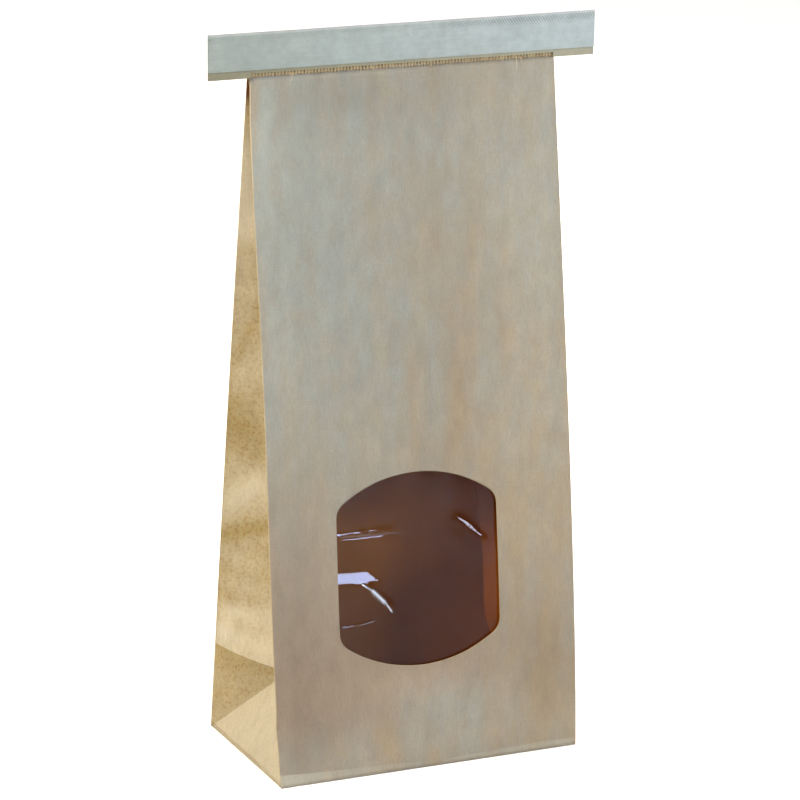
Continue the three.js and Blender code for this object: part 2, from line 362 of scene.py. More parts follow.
def gussetHalf(side, front):
    # ruled from the upright fold to the middle crease, then bent a little along its own normal
    foldZ = rowHeights[edgeRow:]
    share = (foldZ - foldZ[0]) / (foldZ[-1] - foldZ[0])
    creaseZ = blendValue(bag["creaseHeight"], bag["neckHeight"], share)
    grid = ruled(uprightFold(side, front, foldZ)[:, -1], middleCrease(side, creaseZ), gusset["steps"])
    u = np.linspace(0, 1, gusset["steps"] + 1)[None, :]
    z = grid[..., 2]
    across = np.sin(np.pi * u) * smoothStep(0, 10, z - bag["edgeHeight"])
    across = across * smoothStep(15, 95, bag["neckHeight"] - z)
    seed = 31 + 2 * (side > 0) + front
    turn = 2 * np.pi * (z - gusset["waveStart"]) / gusset["waveLength"]
    waves = gusset["waves"] * np.sin(turn + gusset["waveTurn"] + gusset["waveLag"] * u)
    cockles = gusset["cockle"] * wander(u * 30, z, gusset["cockleSize"], seed)
    ridge = ridgeOf(u) * np.exp(-(z - z[:1]) / gusset["ridgeReach"])
    return grid + (across * (waves + cockles) + ridge)[..., None] * gussetOutward(side, front)


def cornerTriangle(side, front):
    # between the upright fold's foot, the slanting crease and the base crease
    fold = uprightFold(side, front, rowHeights[:edgeRow + 1])[:, -1]
    peak = middleCrease(side, np.array([bag["creaseHeight"]]))
    grid = ruled(fold, np.repeat(peak, len(fold), axis=0), gusset["steps"])
    u = np.linspace(0, 1, gusset["steps"] + 1)[None, :]
    share = np.linspace(0, 1, len(fold))[:, None]
    return grid + (ridgeOf(u) * share)[..., None] * gussetOutward(side, front)


def footTriangle(side):
    # the flat triangle over the base's short edge
    ends = [uprightFold(side, front, np.zeros(1))[:, -1] for front in (True, False)]
    base = ruled(ends[0], ends[1], gusset["footSteps"])[0]
    peak = middleCrease(side, np.array([bag["creaseHeight"]]))
    return ruled(base, np.repeat(peak, len(base), axis=0), gusset["steps"])


# the window's outline, and the panels
window = {
    "width": 57, "height": 65.2, "sill": 35, "offset": -2, "archRadius": 45, "cornerRadius": 6,
    "rings": 9,                 # rows of the mesh between the outline and the panel's grid
    "frame": 9,                 # how far that part of the mesh reaches past the outline
}
panelLean = math.atan2(halfDepth - neckHalf, bag["neckHeight"])


def barrelOutline(points=1440):
    # upright sides, an arched top and bottom and round corners, in x and height along the panel
    halfW, corner, arch = window["width"] / 2, window["cornerRadius"], window["archRadius"]
    offCentre = halfW - corner
    down = math.sqrt((arch - corner) ** 2 - offCentre ** 2)
    turn = math.atan2(down, offCentre)
    low, height = arch - down, window["height"]
    arcs = [
        (offCentre, height - low, corner, 0, turn), (0, height - arch, arch, turn, np.pi - turn),
        (-offCentre, height - low, corner, np.pi - turn, np.pi), (-offCentre, low, corner, np.pi, np.pi + turn),
        (0, arch, arch, np.pi + turn, 2 * np.pi - turn), (offCentre, low, corner, 2 * np.pi - turn, 2 * np.pi),
    ]
    each = points // len(arcs)
    outline = []
    for x, z, radius, start, end in arcs:
        angle = np.linspace(start, end, each)
        outline.append(np.stack([x + radius * np.cos(angle), z + radius * np.sin(angle)], axis=-1))
        if abs(end - np.pi) < 1e-6 or abs(end - 2 * np.pi) < 1e-6:
            # an upright side runs from here to the next corner
            sideX = np.full(each, outline[-1][-1, 0])
            sideZ = np.linspace(height - low, low, each) if x < 0 else np.linspace(low, height - low, each)
            outline.append(np.stack([sideX, sideZ], axis=-1)[1:-1])
    outline = np.concatenate(outline)
    return outline[:, 0] + window["offset"], (outline[:, 1] + window["sill"]) * math.cos(panelLean)


outlineX, outlineZ = barrelOutline()
windowCentre = (window["offset"], (window["sill"] + window["height"] / 2) * math.cos(panelLean))


def frontPanel():
    # a regular grid with a rectangle left out round the window, and rings from that rectangle to
    # the window's outline, matched by their angle about the window's centre
    x = np.linspace(-panelEdge, panelEdge, bag["columns"] + 1)
    x2, z2 = np.meshgrid(x, rowHeights)
    grid = np.stack([x2, frontY(x2, z2), z2], axis=-1)
    reach = window["frame"]
    c0, c1 = np.searchsorted(x, [outlineX.min() - reach, outlineX.max() + reach])
    r0, r1 = np.searchsorted(rowHeights, [outlineZ.min() - reach, outlineZ.max() + reach])
    rowOf, columnOf = np.divmod(np.arange((len(rowHeights) - 1) * bag["columns"]), bag["columns"])
    outside = (rowOf < r0) | (rowOf >= r1) | (columnOf < c0) | (columnOf >= c1)
    rim = np.concatenate([
        np.stack([x[c0:c1], 0 * x[c0:c1] + rowHeights[r0]], axis=-1),
        np.stack([0 * rowHeights[r0:r1] + x[c1], rowHeights[r0:r1]], axis=-1),
        np.stack([x[c1:c0:-1], 0 * x[c1:c0:-1] + rowHeights[r1]], axis=-1),
        np.stack([0 * rowHeights[r1:r0:-1] + x[c0], rowHeights[r1:r0:-1]], axis=-1),
    ])
    centreX, centreZ = windowCentre
    angleOf = np.arctan2(outlineZ - centreZ, outlineX - centreX) % (2 * np.pi)
    order = np.argsort(angleOf)
    reachOf = np.hypot(outlineX - centreX, outlineZ - centreZ)[order]
    rimAngle = np.arctan2(rim[:, 1] - centreZ, rim[:, 0] - centreX) % (2 * np.pi)
    inner = np.interp(rimAngle, angleOf[order], reachOf, period=2 * np.pi)
    hole = np.stack([centreX + inner * np.cos(rimAngle), centreZ + inner * np.sin(rimAngle)], axis=-1)
    t = np.linspace(0, 1, window["rings"] + 1)[:, None, None] ** 1.5
    flat = hole[None] * (1 - t) + rim[None] * t
    rings = np.stack([flat[..., 0], frontY(flat[..., 0], flat[..., 1]), flat[..., 1]], axis=-1)
    return [sheet(grid, (0, -1, 0), keep=outside), sheet(rings, (0, -1, 0), closed=True)]


backX = np.linspace(-panelEdge, panelEdge, bag["backColumns"] + 1)


def backPanel():
    # a regular grid whose columns are fine enough to meet the teeth of the mouth's edge
    x2, z2 = np.meshgrid(backX, rowHeights)
    return sheet(np.stack([x2, backY(x2, z2), z2], axis=-1), (0, 1, 0))


# the mouth, pressed flat and turned over once to the front
mouth = {
    "flapFace": -1.9, "edge": 232,      # y of the flap, and height of its cut edge
    "toothDepth": 1.15, "toothDrop": 0.42,
    "roundSteps": 20, "roundHeight": 2.6, "flapDepth": 3.3,  # the round top's height at this depth of it
    "pastLeft": 0.9, "pastRight": 0.3,  # how far the flap reaches past the folds
    "curl": 0.05,
}


def mouthPly(x, neckY, flapY, top):
    # a profile of neck, round top and flap, carried along x; its last row is cut to teeth
    edge = mouth["edge"]
    roundHeight = mouth["roundHeight"] * (neckY - flapY) / mouth["flapDepth"]
    turn = np.linspace(0, np.pi, mouth["roundSteps"] + 1)
    middle, half = (neckY + flapY) / 2, (neckY - flapY) / 2
    up = np.linspace(bag["neckHeight"], top - roundHeight, 8)[:-1]
    down = np.append(np.linspace(top - roundHeight, edge + 0.9, 7)[1:], [edge + 0.4, edge])
    y = np.concatenate([neckY + 0 * up, middle + half * np.cos(turn), flapY + 0 * down])
    z = np.concatenate([up, top - roundHeight + roundHeight * np.sin(turn), down])
    grid = np.stack(np.broadcast_arrays(x[None, :], y[:, None], z[:, None]), axis=-1).copy()
    # the tips point down, uneven in length, and lie on the panel
    grid[-1, 1::2, 2] -= mouth["toothDepth"] * (1 + 0.25 * wander(x[1::2], 0 * x[1::2], 3, 42))
    grid[-1, 1::2, 1] += mouth["toothDrop"]
    # the flap lies a little askew, and reaches past the neck at the left
    past = smoothStep(0, 4, top - z)[:, None] * (y[:, None] < middle)
    grid[..., 0] += past * np.interp(x, [-halfWidth, halfWidth], [-mouth["pastLeft"], mouth["pastRight"]])
    lift = smoothStep(0, 1, (z - edge) / 3)[:, None]
    curl = mouth["curl"] * wander(x[None, :], 0 * z[:, None], 9, 41)
    grid[..., 1] += np.where(y[:, None] < middle, curl * (1 - lift), 0)
    return grid


sideLightAndShade = {
    # painted light (+) and shade (-) in bands up the gussets: height, climb for each mm inwards, reach and
    # amount
    "bands": [
        (200, 0.5, 15, 0.75), (184, 0.5, 10, 0.50), (160, 0.5, 12, 0.22), (146, 2.9, 7, -0.22),
        (131, 0.5, 6, 0.22), (108, -0.9, 10, -0.28), (87, 0.9, 6.5, 0.42), (73.7, 0.4, 2.8, -0.38),
        (60, 0.4, 6, -0.12),
    ],
    "ground": 0.38,
    "topLift": 0.12, "across": 0.10,    # painted light on the upper gussets, with painted light on their front halves and shade on their back halves
    "pale": (50, 44, 0.37),             # painted light: a paler patch starts between these heights, above the slanting crease
    "between": 0.17, "foot": 0.79,      # painted shade on the triangles between the base creases, painted light on the one below them
    "underCrease": 0.30, "uneven": 0.08,
}


def cornerShades():
    # painted shade between the base creases, one number a face: darkest and uneven just under the slanting
    # crease
    row, column = np.divmod(np.arange(edgeRow * gusset["steps"]), gusset["steps"])
    share = (row + 0.5) / edgeRow
    uneven = sideLightAndShade["uneven"] * wander(row * 1.0, column * 1.0, 9, 92)
    return sideLightAndShade["between"] + sideLightAndShade["underCrease"] * (0.65 - share) + uneven


def paperBag():
    # creaseShare is 1 on the triangles between the base creases, and the other face tone is how pale each is
    # painted, as painted light and shade
    sheets = frontPanel() + [backPanel()]
    tones = {}
    for side in (-1, 1):
        for front in (True, False):
            sheets.append(sheet(uprightFold(side, front, rowHeights), (side, 0, 0)))
            sheets.append(sheet(gussetHalf(side, front), (side, 0.4 if front else -0.4, 0)))
            tones[len(sheets)] = (1, cornerShades())
            sheets.append(sheet(cornerTriangle(side, front), (side, 0.4 if front else -0.4, 0)))
        tones[len(sheets)] = (1, sideLightAndShade["foot"])
        sheets.append(sheet(footTriangle(side), (side, 0, 0.3)))
    ply = mouthPly(backX, neckHalf, mouth["flapFace"], bag["foldHeight"])
    points = ply.reshape(-1, 3)
    faces = gridFaces(*ply.shape[:2])
    # the ply turns right over, so its first rows say which way it faces: outwards at the back
    first = facing(points, faces[: bag["backColumns"]], (0, 1, 0))
    sheets.append((points, faces if (first[0] == faces[0]).all() else faces[:, ::-1]))
    faceTones = {}
    for k, toneName in enumerate(("creaseShare", "creaseLight")):
        parts = [np.zeros(len(faces)) + tones.get(i, (0, 0))[k] for i, (points, faces) in enumerate(sheets)]
        faceTones[toneName] = np.concatenate(parts)
    return buildMesh("paperBag", *gather(sheets), sharp=12, faceTones=faceTones)


bagPiece = paperBag()
print("paper bag:", len(bagPiece.data.polygons), "faces")


innerPly = {
    # y of the neck and of the flap, and how much lower than the outer ply each turns over
    "panel": (-1.2, -1.5, 1.0), "gussets": [(0.55, -1.62, 0.3), (-0.35, -1.56, 0.65)],
    "paper": 0.06, "inset": 0.2, "gussetInset": 0.25, "gussetReach": 31, "gussetSteps": 42, "into": 3,
}


def innerPlies():
    # the front panel's and the gussets' plies inside the fold, of which the ends show
    sheets = []
    full = halfWidth - innerPly["inset"]
    plies = [(np.linspace(-full, full, bag["backColumns"] + 1), *innerPly["panel"])]
    for side in (-1, 1):
        ends = halfWidth - innerPly["gussetReach"], halfWidth - innerPly["gussetInset"]
        part = np.sort(side * np.linspace(*ends, innerPly["gussetSteps"] + 1))
        plies += [(part, *ply) for ply in innerPly["gussets"]]
    for x, neckY, flapY, drop in plies:
        ply = mouthPly(x, neckY, flapY, bag["foldHeight"] - drop)
        ply[0, :, 2] -= innerPly["into"]  # the foot of each reaches down into the neck
        sheets.append((ply.reshape(-1, 3), gridFaces(*ply.shape[:2])))
    return buildMesh("mouthPlies", *gather(sheets))


pliesPiece = innerPlies()


# the folded base: one ply under the whole, and two flaps pasted over each other inside
basePlies = [
    # half the width, where it starts and ends in y, and its height
    (53.5, -31.2, 31.2, 0.15), (53.3, -31.0, 9, 0.5), (53.3, -9, 31.0, 0.85),
]
basePaper = 0.1  # the thickness of each


def baseSheets():
    # flat sheets with a slow unevenness
    sheets = []
    for reach, y0, y1, z in basePlies:
        x, y = np.meshgrid(np.linspace(-reach, reach, 41), np.linspace(y0, y1, 25))
        sheets.append(sheet(np.stack([x, y, z + 0.08 * wander(x, y, 30, 51)], axis=-1), (0, 0, 1)))
    return buildMesh("baseSheets", *gather(sheets))


basePiece = baseSheets()


# fibres that hang from the cut edge
fibres = {
    # x of the root, length, sideways drift and curl of each, in millimetres
    "hanging": [
        (-40.2, 3.4, -0.7, 0.7), (-39.4, 1.2, -0.6, 0.3), (34.6, 1.4, 0.5, -0.3), (39.9, 4.6, 0.1, 0.0),
        (41.4, 2.0, 0.7, -0.3), (-12.0, 1.0, 0.5, 0.2), (9.0, 1.1, -0.5, 0.3), (23.0, 0.9, 0.3, 0.2),
    ],
    "radius": 0.055, "steps": 11, "sides": 5,
}


def looseFibres():
    # each is a thin round tube along a curve that falls and drifts
    sheets = []
    t = np.linspace(0, 1, fibres["steps"] + 1)
    around = np.linspace(0, 2 * np.pi, fibres["sides"] + 1)[:-1]
    for x, length, drift, curl in fibres["hanging"]:
        cx = x + drift * t + curl * np.sin(3 * t)
        cy = mouth["flapFace"] - 0.1 - 0.35 * np.sin(2.2 * t)
        cz = mouth["edge"] - 0.3 - length * t
        size = (fibres["radius"] * (1 - 0.6 * t))[:, None]
        ring = np.stack([size * np.cos(around), size * np.sin(around), 0 * size * around], axis=-1)
        points = (np.stack([cx, cy, cz], axis=-1)[:, None] + ring).reshape(-1, 3)
        faces = gridFaces(len(t), len(around), closed=True)
        centre = np.array([cx.mean(), cy.mean(), cz.mean()])
        sheets.append((points, facingAway(points, faces, centre)))
    return buildMesh("looseFibres", *gather(sheets), weld=0.001)


fibrePiece = looseFibres()
print("mouth, base and fibres done")


# the window film, glued on from inside
film = {
    "overlap": 7, "setBack": 1.15, "step": 0.215, "coarseStep": 1.0,
    # folds that stand proud, as lines from one point to another: x0, z0, x1, z1, bend, width, height, uneven
    "folds": [
        (-36, 79.7, -8.5, 80.7, 0.2, 0.85, 0.340, 0.22),
        (-36, 78.4, -9.0, 78.8, 0.0, 0.42, 0.275, 0.0),
        (-36, 48.7, -16.0, 50.7, 0.0, 0.42, 0.188, 0.0),
        (11.2, 82.7, 23.4, 72.2, 0.3, 1.15, 0.385, 0.0),
        (-24.5, 66.5, -9.7, 52.3, -0.6, 1.9, 0.45, 0.0),
    ],
    # a flat facet, tipped up: its right end at the top and at the foot, low and high edge, tilt
    "facet": (-18.0, -13.8, 63.9, 67.5, 0.365), "facetSettle": 3,
    "slack": 0.08, "slackSize": 26, "slackFade": 6,
    # painted glints, white along creases, as lines: x0, z0, x1, z1, half width, how white, broken into dots or
    # not
    "creases": [
        (-31.0, 80.1, -4.0, 79.1, 0.20, 0.30, False), (-31.0, 49.1, -22.0, 50.1, 0.18, 0.22, False),
        (-23.4, 49.9, -16.8, 50.8, 0.22, 0.50, False), (-22.6, 64.2, -15.9, 59.3, 0.30, 0.95, False),
        (-18.9, 61.8, -12.9, 55.6, 0.75, 0.95, False), (-14.6, 57.9, -11.1, 52.5, 0.32, 0.90, False),
        (-27.5, 81.3, -22.0, 81.3, 0.80, 0.60, True), (-20.0, 81.0, -12.0, 81.5, 0.70, 0.45, True),
    ],
}


def filmSurface():
    # behind the panel at an even distance, with slow slack waves, raised folds whose section is a
    # bell, and one tipped facet
    low = (window["sill"] - film["overlap"]) * math.cos(panelLean)
    high = (window["sill"] + window["height"] + film["overlap"]) * math.cos(panelLean)
    left = window["offset"] - window["width"] / 2 - film["overlap"]
    right = window["offset"] + window["width"] / 2 + film["overlap"]
    lines = []
    for a, b, outline in ((left, right, outlineX), (low, high, outlineZ)):
        # fine steps where the window shows the film, coarse ones where it is glued
        seenFrom, seenTo = outline.min(), outline.max()
        fine = np.linspace(seenFrom - 1, seenTo + 1, int((seenTo - seenFrom + 2) / film["step"]) + 1)
        before = np.linspace(a, fine[0], int((fine[0] - a) / film["coarseStep"]) + 1)[:-1]
        after = np.linspace(fine[-1], b, int((b - fine[-1]) / film["coarseStep"]) + 1)[1:]
        lines.append(np.concatenate([before, fine, after]))
    x, z = np.meshgrid(*lines)
    free = 1
    for inwards in (x - left, right - x, z - low, high - z):
        free = free * smoothStep(0, film["slackFade"], inwards)
    y = frontY(x, z) + film["setBack"] - film["slack"] * free * wander(x, z, film["slackSize"], 61)
    topEnd, footEnd, foot, top, tilt = film["facet"]
    onFacet = smoothStep(foot - 0.9, foot + 0.1, z) * (1 - smoothStep(1.5, 2.5, z - top))
    for *ends, bend, width, height, uneven in film["folds"]:
        along, aside, length = alongLine(x, z, *ends)
        aside = aside - bend * np.sin(np.pi * np.clip(along, 0, 1))
        share = smoothStep(-0.02, 0.12, along) * smoothStep(-0.02, 0.25, 1 - along)
        height = height * (1 + uneven * wander(along * length, 0 * along, 5, 62))
        y = y - height * bell(aside, 0, width) * share * (1 - onFacet)
    # the facet rises inwards from its foot, and comes back above it
    rise = np.clip(z, foot, top) - foot
    end = blendValue(footEnd, topEnd, rise / (top - foot))
    settle = np.exp(-np.clip(z - top, 0, None) / film["facetSettle"])
    y = y + tilt * rise * settle * smoothStep(0, 1.5, end - x)
    return sheet(np.stack([x, y, z], axis=-1), (0, -1, 0))


def paintFilm(piece):
    # painted glints: how white the film is painted, a bell across each crease, fading at its ends
    x, y, z = placesOf(piece)
    glint = 0 * x
    for *ends, reach, amount, dotted in film["creases"]:
        along, aside, length = alongLine(x, z, *ends)
        line = amount * bell(aside, 0, reach) * smoothStep(0, 0.15, along) * smoothStep(0, 0.25, 1 - along)
        if dotted:
            line = line * smoothStep(0.1, 0.9, wander(x, z * 1.6, 1.7, 91))
        glint = np.maximum(glint, line)
    paint(piece, "paintedGlint", glint)


filmPiece = buildMesh("clearFilm", *filmSurface(), weld=0.001, sharp=180)
paintFilm(filmPiece)
print("window film:", len(filmPiece.data.polygons), "faces")


# the tie strip
tie = {
    "length": 136.6, "offset": -0.5, "top": 245.8, "bottom": 231, "faceBottom": 233.6,
    "back": -2.2, "face": -3.0, "beadFace": -3.12, "beadHeight": 1.7,  # places in y; the bead is along the top
    "step": 0.35,               # how far the strip below the face stands back from it
    "overFlapShadowFoot": 232.5,          # the foot of that strip over the flap, where it stands for the shadow under the face ply
    "columns": 137, "edgeRound": 0.12,
    "bend": 0.10, "footWave": 0.05, "rise": 0.06,  # ripples: slow and fine in y, and slow in z
    "wire": (0.15, 0.95, 244.7, 0.25),  # half its width and height, its height on the strip and its depth
}


def carried(profile, x):
    # a closed profile in y and z carried along x and rippled, with a fan of quads over each end
    grid = np.stack(np.broadcast_arrays(x[:, None], profile[None, :, 0], profile[None, :, 1]), axis=-1).copy()
    grid[..., 1:] += stripRipple(grid[..., 0], grid[..., 2])
    points, faces = sheet(grid, (0, -1, 0), closed=True)
    centre = np.array([x.mean(), profile[:, 0].mean(), profile[:, 1].mean()])
    sheets = [(points, facingAway(points, faces, centre))]
    for row, way in ((0, -1), (-1, 1)):
        ring = grid[row]
        inner = ring.mean(0) + 0 * ring
        sheets.append(sheet(np.stack([ring, inner]), (way, 0, 0), closed=True))
    return sheets


def roundedProfile(corners, radius, steps=3):
    # the outline with each corner cut by a short arc, as a quadratic curve between two points
    corners = np.array(corners, float)
    before, after = np.roll(corners, 1, axis=0), np.roll(corners, -1, axis=0)
    toBefore, toAfter = before - corners, after - corners
    cut = np.minimum(radius, 0.45 * np.minimum(np.hypot(*toBefore.T), np.hypot(*toAfter.T)))
    start = corners + toBefore / np.hypot(*toBefore.T)[:, None] * cut[:, None]
    end = corners + toAfter / np.hypot(*toAfter.T)[:, None] * cut[:, None]
    t = np.linspace(0, 1, steps + 1)[None, :, None]
    arc = (1 - t) ** 2 * start[:, None] + 2 * t * (1 - t) * corners[:, None] + t ** 2 * end[:, None]
    return arc.reshape(-1, 2)


def stripRipple(x, z):
    # the strip isn't quite straight: a slow bend, and a finer wave that is strongest at its foot
    low = np.clip((tie["top"] - z) / 12, 0, 1)
    y = tie["bend"] * wander(x, 0 * z, 60, 71) + tie["footWave"] * low * wander(x, 0 * z, 14, 72)
    return np.stack([y, tie["rise"] * wander(x, 0 * z, 40, 73)], axis=-1)


def tieStrip():
    # the face ply with its bead along the top, carried from end to end
    back, face, bead, top = tie["back"], tie["face"], tie["beadFace"], tie["top"]
    beadFoot, lowerY, lowerTop = top - tie["beadHeight"], tie["face"] + tie["step"], tie["faceBottom"] + 0.8
    profile = roundedProfile([
        (back, tie["faceBottom"]), (back, 238), (back, top - 0.35), (back - 0.3, top),
        (bead + 0.3, top), (bead, top - 0.4), (bead, beadFoot + 0.6), (face, beadFoot - 0.6),
        (face, 240.5), (face, 237), (face, tie["faceBottom"]),
    ], tie["edgeRound"])
    left, right = tie["offset"] - tie["length"] / 2, tie["offset"] + tie["length"] / 2
    sheets = carried(profile, np.linspace(left, right, tie["columns"] + 1))
    # the back ply shows whole beyond the bag, and over the flap as a narrow dark strip that stands for the
    # shadow line under the face ply
    for x0, x1, bottom, columns in (
        (left, -halfWidth - 0.3, tie["bottom"], 15), (-halfWidth - 0.4, halfWidth + 0.4, tie["overFlapShadowFoot"], 110),
        (halfWidth - 0.9, right, tie["bottom"], 15),
    ):
        corners = [(back, bottom), (back, lowerTop), (lowerY, lowerTop), (lowerY, bottom)]
        lower = roundedProfile(corners, tie["edgeRound"])
        sheets += carried(lower, np.linspace(x0, x1, columns))
    return buildMesh("tieStrip", *gather(sheets), weld=0.0005, sharp=40)


tiePiece = tieStrip()


def wireEnd():
    # the end of the flat wire, seen as a dark slot near the strip's left end: a short oval tube, coloured dark
    # as painted shade of the slot
    across, up, height, depth = tie["wire"]
    x = tie["offset"] - tie["length"] / 2 + 0.35
    turn = np.linspace(0, 2 * np.pi, 17)[:-1]
    y = tie["beadFace"] - 0.02 + 0 * turn
    ring = np.stack([x + across * np.cos(turn), y, height + up * np.sin(turn)], axis=-1)
    deep = ring + np.array([0, depth, 0])
    front = np.stack([ring, ring.mean(0) + 0 * ring])
    return buildMesh("wireEnd", *gather([
        sheet(np.stack([ring, deep]), (0, -1, 0), closed=True), sheet(front, (0, -1, 0), closed=True),
    ]), weld=0.0005)


wirePiece = wireEnd()
print("tie strip done")


# tones of the paper and painted light and shade, one number for each point, which the material reads by name
frontTones = {
    # broad patches on the front, of tone and painted cool sheen, with a painted warm highlight on the left
    # fold: x, z, reach across, reach along, how cool (+) or warm (-)
    "patches": [
        (-38, 190, 24, 60, 0.75), (0, 205, 45, 30, 0.35), (-22, 130, 28, 50, 0.45), (14, 126, 4.5, 32, -0.6),
        (34, 80, 26, 36, -0.5), (44, 26, 16, 22, -0.9), (-40, 50, 22, 40, 0.35), (8, 20, 22, 11, 0.75),
        (46, 190, 12, 45, 0.35), (-50, 150, 5, 70, 0.3), (-52.8, 222, 1.6, 16, -0.8), (-14.5, 11, 3.5, 9, -1.2),
        (1, 3, 2.2, 4, -0.9), (-48.2, 222, 2.6, 13, 0.7),
    ],
    # and painted light (+) or shade (-), patch by patch, with a painted highlight on the dent
    "shades": [
        (-50, 190, 6, 50, 0.10), (-14, 222, 28, 9, -0.07), (44, 130, 16, 130, 0.10), (-46, 50, 8, 34, -0.06),
        (-33, 72, 5, 26, 0.11), (-8, 30, 19, 8, 0.22), (0, 18, 36, 10, 0.10), (0, 6, 70, 7, 0.12),
        (-8, 104, 5, 4, 0.10), (12, 126, 5, 34, -0.05), (43, 28, 15, 30, -0.21), (20, 3, 60, 4, -0.03),
        (0, 165, 22, 60, -0.06), (-50, 205, 5, 14, 0.05), (-28, 222, 12, 8, -0.05), (-49, 133, 3, 8, 0.05),
        (-17, 107, 4, 8, 0.10), (-52, 19.6, 2.4, 3.5, 0.16), (-42, 14, 12, 9, -0.07),
        (-48.2, 222, 2.6, 13, 0.07), (-52.8, 222, 1.4, 16, 0.06),
    ],
    "reach": 0.35,                      # how near a panel's face a point counts as the panel
    "streaks": 0.28,                    # how much the streaks along the paper change its tone
    "slowShade": 0.034, "fineShade": 0.018,
    "underFlapLight": (229.6, 0.24),         # painted light from this height up, which cancels the shadow line under the flap
    "back": (0.45, 0.14, 0.08),         # how cool the back is, with its slow change and its streaks
    "low": (20, 150, 5, 40),            # painted shade: darker and warmer below these heights, and most to the left of these places
    "lowGrey": (8, 20, 22, 11),         # but hardly in this patch
}

hemStrip = {
    # the pressed strip along the foot is painted paler as a highlight where it tips up to the light: tall at
    # the left, dies out near the middle and comes back
    "top": ((-54, -43, -29, -10, -3, 2, 8, 26, 41, 54), (4.1, 3.6, 3.0, 2.6, 1.8, 0.9, 1.9, 2.4, 2.8, 2.6)),
    "share": (
        (-54, -43, -29, -10, -3, 2, 8, 26, 41, 52, 54),
        (0.85, 0.6, 0.3, 0.22, 0.15, 0.0, 0.25, 0.3, 0.4, 0.45, 0.0),
    ),
}

paperMarks = {
    "insideBand": (1.08, 0.66, 89, 20),  # painted shade inside: lightness, how much darker round a height, and its reach
    "insideLeft": (0.22, -8, 14),        # painted shade: how much darker at the left, and between which places that ends
    "slitShade": (218, 227),                  # painted shade: nearly dark above these heights, deep in the pressed gussets
    "foldLight": (185, 222, 0.13),            # painted highlight along the folds, with some rubbing: most above these heights, over this width
    "foldLightElsewhere": 0.1,                # share of that at the back and at the right, away from the side lamp
    "notchShadow": (0.2, 0.3), "tip": (0.5, 1.9),  # heights of the painted notch shadows and of the pale tips from the cut edge
}


def patchSum(x, z, patches):
    # all the patches of a list together, each times its amount
    return sum(amount * patch(x, z, *place) for *place, amount in patches)


def paintPanels(piece, x, y, z, onFront, onBack):
    # tone, partly painted cool sheen, painted light and shade, and painted shade low down on the panels; the
    # painted light and shade also lighten the gussets
    onPanel = np.maximum(onFront, onBack)
    streaks = wander(x * 1.7, z * 0.5, 22, 81) + 0.5 * wander(x * 5, z * 1.3, 20, 82)
    cool = patchSum(x, z, frontTones["patches"]) + frontTones["streaks"] * streaks
    ground, slow, streaky = frontTones["back"]
    backCool = ground + slow * wander(x, z * 0.5, 60, 87) + streaky * streaks
    paint(piece, "panel", onPanel)
    paint(piece, "coolToneAndSheen", np.where(onFront >= onBack, np.clip(0.5 + 0.5 * cool, 0, 1), backCool) * onPanel)
    shade = frontTones["slowShade"] * wander(x * 2.4, z * 0.8, 18, 85)
    shade = shade + frontTones["fineShade"] * wander(x * 1.5, z * 1.2, 9, 86)
    # painted light up to the neck, which hides the shadow under the flap
    start, lift = frontTones["underFlapLight"]
    shade = shade + patchSum(x, z, frontTones["shades"]) + lift * smoothStep(start, bag["neckHeight"], z)
    # painted light on the gussets: more high up, and across each from its back half to its front half
    onGusset = np.abs(y) < leanOf(z) - np.minimum(1.0, 0.3 * leanOf(z))
    onGusset = onGusset * (z < bag["neckHeight"]) * (1 - onPanel)
    across = sideLightAndShade["across"] * (1.3 - 2 * np.clip(y / 20, -1, 1)) * bell(z, 120, 70)
    gussetLift = sideLightAndShade["topLift"] * smoothStep(152, 180, z) + across
    paint(piece, "paintedLightAndShade", 1 + shade * onFront + onGusset * gussetLift)
    # painted shade low on the front, darker and warmer, less at the very foot and in one grey patch
    low, high, left, right = frontTones["low"]
    lowShade = (1 - smoothStep(low, high, z)) * (1 - 0.8 * smoothStep(left, right, x))
    lowShade = lowShade * (0.2 + 0.8 * smoothStep(4, 26, z)) * (1 - 0.7 * patch(x, z, *frontTones["lowGrey"]))
    paint(piece, "lowShade", lowShade * onFront)
    paint(piece, "hemTop", np.interp(x, *hemStrip["top"]))
    paint(piece, "hemHighlight", np.interp(x, *hemStrip["share"]) * onFront)


def paintGussets(piece, x, y, z, offPanel):
    # painted light and shade in bands that follow the inward slope of each half; inwards is the distance from
    # the upright folds
    inwards = 48 - np.abs(x)
    bands = sideLightAndShade["ground"] + 0.10 * wander(y * 2, z, 26, 83) + 0.08 * wander(x * 2.5, z, 9, 84)
    for height, climb, reach, amount in sideLightAndShade["bands"]:
        bands = bands + amount * bell(z - climb * inwards, height, reach)
    top, low, amount = sideLightAndShade["pale"]
    bands = bands + amount * (1 - smoothStep(low, top, z - 0.4 * inwards))
    paint(piece, "sideLightBands", np.clip(bands, 0, 1) * offPanel)
    # inside, the gussets are coloured with a painted glow of the light that comes through, and the back is
    # painted darker high up
    paint(piece, "gussetGlow", (np.abs(y) < leanOf(z) - 1.5) & (z < bag["neckHeight"]))
    light, darker, height, reach = paperMarks["insideBand"]
    darkerLeft, left, right = paperMarks["insideLeft"]
    atLeft = 1 - smoothStep(left, right, x)
    paint(piece, "insideShade", light - darker * bell(z, height, reach) - darkerLeft * atLeft)
    # painted shade in the gap between the gusset's plies near the neck
    deep = (y > -0.3 * leanOf(z)) & (y < backY(x, z) - 0.45) & (z < bag["neckHeight"])
    paint(piece, "slitShade", smoothStep(*paperMarks["slitShade"], z) * deep)


